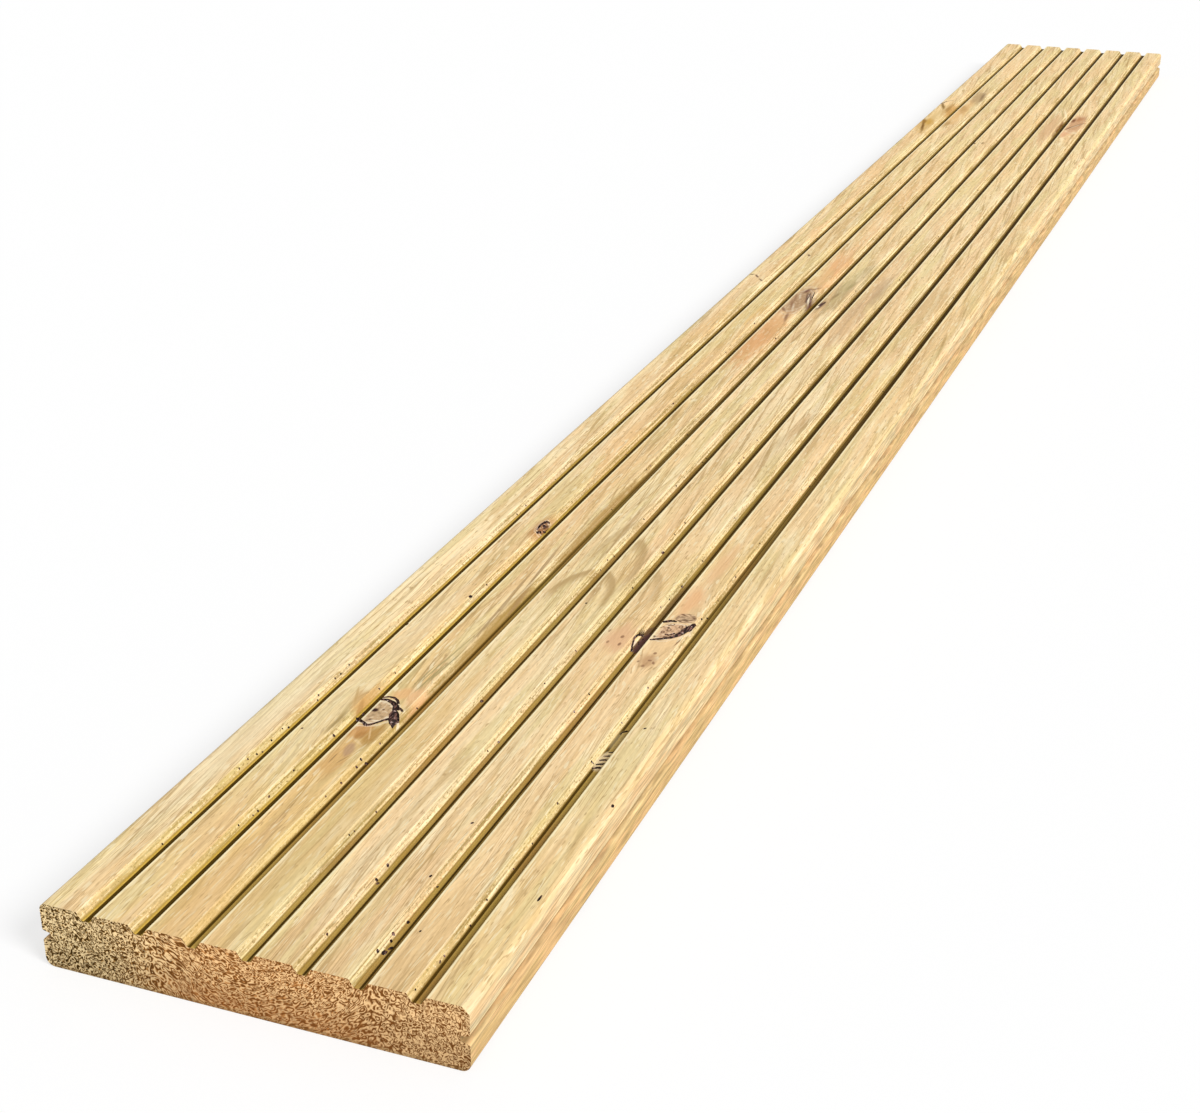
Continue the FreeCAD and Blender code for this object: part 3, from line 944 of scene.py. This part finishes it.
def groove_floors(wood, colour):
    """Paints the groove floors in a colour darkened as painted shade, each with a painted shadow line and
    painted shade at the wall's foot, and painted highlights along the grooves' crests.
    """
    left_two = ease(wood.across, -26.0, -29.0)
    third_groove = ease(calc("ABSOLUTE", plus(wood.across, 18.0)), 8.0, 6.0)
    last_groove = ease(wood.across, 44.0, 47.0)
    at_left_root = plus(third_groove, last_groove)
    browner = ease(cloud(place, 30, 60, 30, 1.0, (7, 7, 7)), 0.45, 0.62)
    # the floors' olive and brown is partly their own colour and partly painted shade
    floor_colour = paint(FLOOR_OLIVE, FLOOR_BROWN, browner)
    floor_colour = paint(floor_colour, FLOOR_GOLD, times(left_two, 0.8))
    rotten = ease(plus(oval(106.3, 232.0, 3.4, 13.0), times(ragged, 0.4)), 1.0, 0.8)
    floor_colour = paint(floor_colour, FLOOR_ROT, rotten)
    stained = ease(oval(106.0, 262.0, 3.4, 34.0), 1.0, 0.3)
    floor_colour = paint(floor_colour, FLOOR_STAIN, times(stained, 0.8))
    # the far floors darker still: painted shade
    far_share = ease(wood.from_near_end, 120, 620)
    floor_colour = paint(floor_colour, FAR_FLOOR_SHADE, times(far_share, 0.85))
    colour = paint(colour, floor_colour, times(wood.floor, 0.92))
    # a dark line along each floor and another by the right wall's foot: painted shadow
    line_middle = plus(plus(times(at_left_root, -1.30), times(left_two, -0.35)), 0.45)
    line_half = plus(plus(times(at_left_root, 0.10), times(left_two, 0.40)), 0.35)
    from_line = less(calc("ABSOLUTE", less(wood.in_pitch, line_middle)), line_half)
    dark = plus(ease(from_line, 0.2, -0.1), times(ease(wood.in_pitch, 0.95, 1.2), 0.5))
    dark = plus(times(dark, less(1.0, far_share)), times(ease(wood.in_pitch, -0.9, -0.4), far_share))
    colour = paint(colour, FLOOR_SHADOW_LINE, times(times(dark, wood.floor), 0.95))
    # a dark line at the foot of the left wall: painted shade
    root = times(ridge(wood.in_pitch, -1.75, -1.50, -1.30, -1.00), wood.low)
    colour = paint(colour, ROOT_SHADE_LINE, times(times(root, less(1.0, times(far_share, 0.5))), 0.45))
    if 1 in wood.knots:
        rot = ease(plus(oval(106.4, 229.0, 2.0, 10.5), times(ragged, 0.4)), 1.0, 0.7)
        colour = paint(colour, WALL_ROT, times(times(rot, wood.low), 0.92))
    # pale lines along both crests of each groove: painted highlights
    crest = times(ridge(wood.in_pitch, 2.9, 3.1, 3.7, 4.1), wood.on_top)
    colour = paint(colour, RIGHT_CREST_HIGHLIGHT, times(crest, 0.70))
    left_crest_highlight = times(ridge(wood.in_pitch, -3.5, -3.25, -3.05, -2.85), wood.on_top)
    left_share = ease(cloud(place, 9, 50, 60, 1.0, (8, 3, 1)), 0.40, 0.60)
    return paint(colour, LEFT_CREST_HIGHLIGHT, times(times(left_crest_highlight, left_share), 0.30))


def top_face(material, first, last):
    """Builds the material of one stretch of the grooved face."""
    wood = plain_wood(material, first, last)
    wood.in_pitch = calc("WRAP", wood.across, GROOVE_PITCH / MM / 2, -GROOVE_PITCH / MM / 2)
    depth = less(THICKNESS / MM, wood.height)
    wood.on_top = ease(calc("ABSOLUTE", wood.across), 59.5, 58.5)
    wood.wall = times(ease(depth, 0.10, 0.6), wood.on_top)
    wood.low = times(ease(depth, 1.5, 2.1), wood.on_top)
    wood.floor = times(ease(depth, 2.2, 2.6), wood.on_top)
    colour = arched_bands(wood, wood.colour)
    colour = groove_walls(wood, colour)
    for across, along, half_across, half_along, turn, share, halo in HALOS:
        if in_zone(along, half_along, first, last):
            colour = stain(colour, across, along, half_across, half_along, turn, share, halo, inner=0.35)
    colour = knot_hearts(wood, colour)
    if 1 in wood.knots:
        colour = bubbled_heart(wood, colour)
    core = NEAR_STROKE_CORE if first == 0 else FAR_STROKE_CORE
    for across, along, half_across, half_along, turn, share, line in STROKES:
        if in_zone(along, half_along, first, last):
            colour = stain(colour, across, along, half_across, half_along, turn, share, line,
                           inner=core, rag=max(0.35, 0.25 * half_across))
    colour = groove_floors(wood, colour)
    if first == 0:
        # the wood torn bare between the short bars, and the chip at the corner
        colour = stain(colour, 124.3, 142.5, 2.4, 8.0, 0, 0.80, (0.820, 0.660, 0.400), inner=0.7, rag=0.5)
        colour = stain(colour, 124.0, 157.0, 2.4, 9.0, 0, 0.35, (0.600, 0.480, 0.250), inner=0.5, rag=0.5)
        chip = times(ease(oval(139.4, 1.5, 2.4, 8.0), 1.0, 0.85), ease(wood.height, 18.5, 19.6))
        colour = paint(colour, (0.900, 0.740, 0.460), times(chip, 0.4))
    left_edge = times(ease(wood.across, -69.0, -69.7), ease(wood.height, 17.0, 19.0))
    colour = paint(colour, (0.620, 0.500, 0.160), times(left_edge, 0.6))
    wood.colour = brighten(colour, plus(times(ease(wood.from_near_end, 300, 1300), 0.035), 1.0))
    finish_wood(wood, 0.62)


top_face(near_pine, 0, ZONE_BREAK)
top_face(far_pine, ZONE_BREAK, LENGTH / MM)

# The sides turn orange towards the underside, with short pale and brown streaks, and carry painted shade
# inside the slots. The underside is plain planed wood.
SIDE_ORANGE = (0.665, 0.42, 0.15)
SIDE_PEACH = (0.83, 0.51, 0.245)
SLOT_SHADE = (0.26, 0.15, 0.055)
wood = plain_wood(edge_pine, LENGTH / MM, LENGTH / MM)
below_arris = ease(wood.height, 20.0, 19.2)
lower = times(ease(wood.height, 15.0, 6.0), below_arris)
on_side = times(ease(calc("ABSOLUTE", wood.across), 60.0, 66.5), below_arris)
side_streak = cloud(place, 3, 16, 0.7, 2.0, (4, 7, 2), 0.6)
colour = paint(wood.colour, CREAM, times(below_arris, 0.45))
colour = paint(colour, SIDE_ORANGE, times(lower, plus(times(on_side, 0.45), 0.25)))
warm = ease(cloud(place, 5, 26, 3.5, 1.0, (3, 9, 2)), 0.46, 0.60)
colour = paint(colour, SIDE_PEACH, times(times(warm, on_side), 0.55))
colour = brighten(colour, plus(times(plus(spread(side_streak, 1.5), -0.13), on_side), 1.0))
# darker inside the slots: painted shade
in_slot = times(ease(calc("ABSOLUTE", plus(wood.height, -SLOT_MIDDLE / MM)), 1.9, 1.2),
                ease(calc("ABSOLUTE", wood.across), 68.9, 68.0))
in_slot = times(in_slot, ease(calc("ABSOLUTE", wood.across), 66.2, 66.6))
wood.colour = paint(colour, SLOT_SHADE, times(in_slot, 0.7))
finish_wood(wood, 0.62)

# The end grain: torn fibre ends in fine dark and pale worms, greyer on the left, redder in the middle and
# paler along the upper edge.
wood = plain_wood(end_pine, LENGTH / MM, LENGTH / MM)
end_place = shade("CombineXYZ", {0: wood.arc, 1: wood.radius, 2: wood.along}).outputs[0]
to_middle = ridge(wood.across, -46, -18, 28, 56)


def fibre_ends(ring_long, ring_short, loose, start):
    """Torn fibre ends: drawn out along the rings in the middle, loose and curly towards both edges."""
    ringwise = cloud(end_place, ring_long, ring_short, 60, 0.0, start)
    curly = cloud(place, loose, 60, loose, 0.0, start)
    return plus(times(ringwise, to_middle), times(curly, less(1.0, to_middle)))


def stripes(pattern, turns):
    """Winding stripes along the level lines of a pattern, from -1 to 1."""
    return calc("SINE", times(pattern, turns * math.tau))


greyer = ease(wood.across, -8, -56)
end_base = paint((0.630, 0.285, 0.090), (0.395, 0.222, 0.066), greyer)
end_base = paint(end_base, (0.585, 0.340, 0.148), ease(wood.across, 20, 50))
end_dark = paint((0.200, 0.072, 0.014), (0.050, 0.026, 0.004), greyer)
end_light = paint((1.000, 0.665, 0.330), (1.000, 0.780, 0.430), greyer)
maze = stripes(fibre_ends(3.2, 1.15, 1.55, (0, 1, 0)), 5.0)
grains = fibre_ends(1.2, 0.50, 0.65, (2, 4, 7))
colour = paint(end_base, end_dark, times(ease(maze, 0.10, -0.80), 1.0))
colour = paint(colour, end_light, times(ease(maze, 0.15, 0.90), 0.90))
colour = paint(colour, end_dark, times(ease(grains, 0.42, 0.32), 0.60))
colour = paint(colour, end_light, times(ease(grains, 0.58, 0.68), 0.70))
colour = paint(colour, (0.500, 0.175, 0.045), times(times(ease(wood.height, 12, 3), to_middle), 0.25))
colour = paint(colour, (0.420, 0.165, 0.050), times(wood.latewood, 0.10))
colour = brighten(colour, plus(times(ease(wood.height, 2, 19), 0.32), 0.93))
wood.colour = paint(colour, (0.200, 0.115, 0.040), times(ease(wood.height, 1.6, 0.4), 0.5))
finish_wood(wood, 0.8)

# The bark round the knots, dark and flaky.
bark.use_nodes = True
tree = bark.node_tree
bark_surface = tree.nodes["Principled BSDF"]
object_place = shade("TexCoord", {}).outputs["Object"]
place = shade("Mapping", {"Vector": object_place, "Scale": (1 / MM, 1 / MM, 1 / MM)}).outputs[0]
flakes = cloud(place, 0.8, 2.4, 0.8, 2.0)
bark_colour = paint((0.022, 0.010, 0.008), (0.24, 0.120, 0.090), ease(flakes, 0.46, 0.66))
pale_flakes = cloud(place, 0.9, 1.6, 0.9, 0.0, (4, 2, 7))
bark_colour = paint(bark_colour, (0.620, 0.460, 0.400), times(ease(pale_flakes, 0.64, 0.72), 0.7))
tree.links.new(bark_colour, bark_surface.inputs["Base Color"])
bark_surface.inputs["Roughness"].default_value = 0.8
bark_surface.inputs["Specular IOR Level"].default_value = 0.2
bark_bump = shade("Bump", {"Height": flakes, "Distance": 0.4 * MM}).outputs[0]
tree.links.new(bark_bump, bark_surface.inputs["Normal"])

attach(board, "root")
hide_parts("decking_board")

# The stage
# A plain pale floor that stays white to the camera and still takes the board's soft shadow, one broad
# lamp low on the right, so that the groove floors fall into shade, and an even white sky as fill.
FLOOR_SIZE = 40
FLOOR_DROP = 0.1 * MM


def seen_plainly():
    """1 for a ray that the camera sends, straight or by way of a glossy or clear surface."""
    rays = shade("LightPath", {}).outputs
    straight_or_glossy = calc("MAXIMUM", rays["Is Camera Ray"], rays["Is Glossy Ray"])
    return calc("MAXIMUM", straight_or_glossy, rays["Is Transmission Ray"])


bpy.ops.object.select_all(action="DESELECT")
bpy.ops.mesh.primitive_plane_add(size=FLOOR_SIZE, location=(0, 0, -FLOOR_DROP))
floor = bpy.context.object
floor.name = "floor"
floor_paint = bpy.data.materials.new("white_floor")
floor_paint.use_nodes = True
tree = floor_paint.node_tree
tree.nodes.remove(tree.nodes["Principled BSDF"])
seen = seen_plainly()
shaded = shade("BsdfDiffuse", {"Color": (0.30, 0.30, 0.30, 1)}).outputs[0]
glow = shade("Emission", {"Color": (1, 1, 1, 1), "Strength": 0.70}).outputs[0]
bright = shade("AddShader", {0: shaded, 1: glow}).outputs[0]
bounce = shade("BsdfDiffuse", {"Color": (0.6, 0.6, 0.6, 1)}).outputs[0]
either = shade("MixShader", {0: seen, 1: bounce, 2: bright}).outputs[0]
tree.links.new(either, tree.nodes["Material Output"].inputs["Surface"])
floor.data.materials.append(floor_paint)

lamp_data = bpy.data.lights.new("lamp", "SUN")
lamp_data.energy = 2.8
lamp_data.angle = math.radians(22)
lamp = bpy.data.objects.new("lamp", lamp_data)
lamp.rotation_euler = Vector((-0.74, 0.33, -0.62)).to_track_quat("-Z", "Y").to_euler()
bpy.context.scene.collection.objects.link(lamp)

world = bpy.data.worlds.new("studio")
bpy.context.scene.world = world
world.use_nodes = True
tree = world.node_tree
seen = seen_plainly()
tree.links.new(plus(times(seen, 0.55), 0.45), tree.nodes["Background"].inputs["Strength"])
tree.nodes["Background"].inputs["Color"].default_value = (1, 1, 1, 1)

# The camera
# It stands low beyond the near end, to the right, and looks along the board.
CAMERA_PLACE = Vector((0.2670, -1.1586, 0.3628))
CAMERA_AIM = Vector((-0.0137, -0.4356, 0.0110))
CAMERA_LENS = 60.64
camera_data = bpy.data.cameras.new("camera")
camera_data.sensor_width = 36
camera_data.lens = CAMERA_LENS
camera = bpy.data.objects.new("camera", camera_data)
camera.location = CAMERA_PLACE
camera.rotation_euler = (CAMERA_AIM - CAMERA_PLACE).to_track_quat("-Z", "Y").to_euler()
bpy.context.scene.collection.objects.link(camera)
bpy.context.scene.camera = camera
bpy.context.scene.view_settings.view_transform = "Standard"
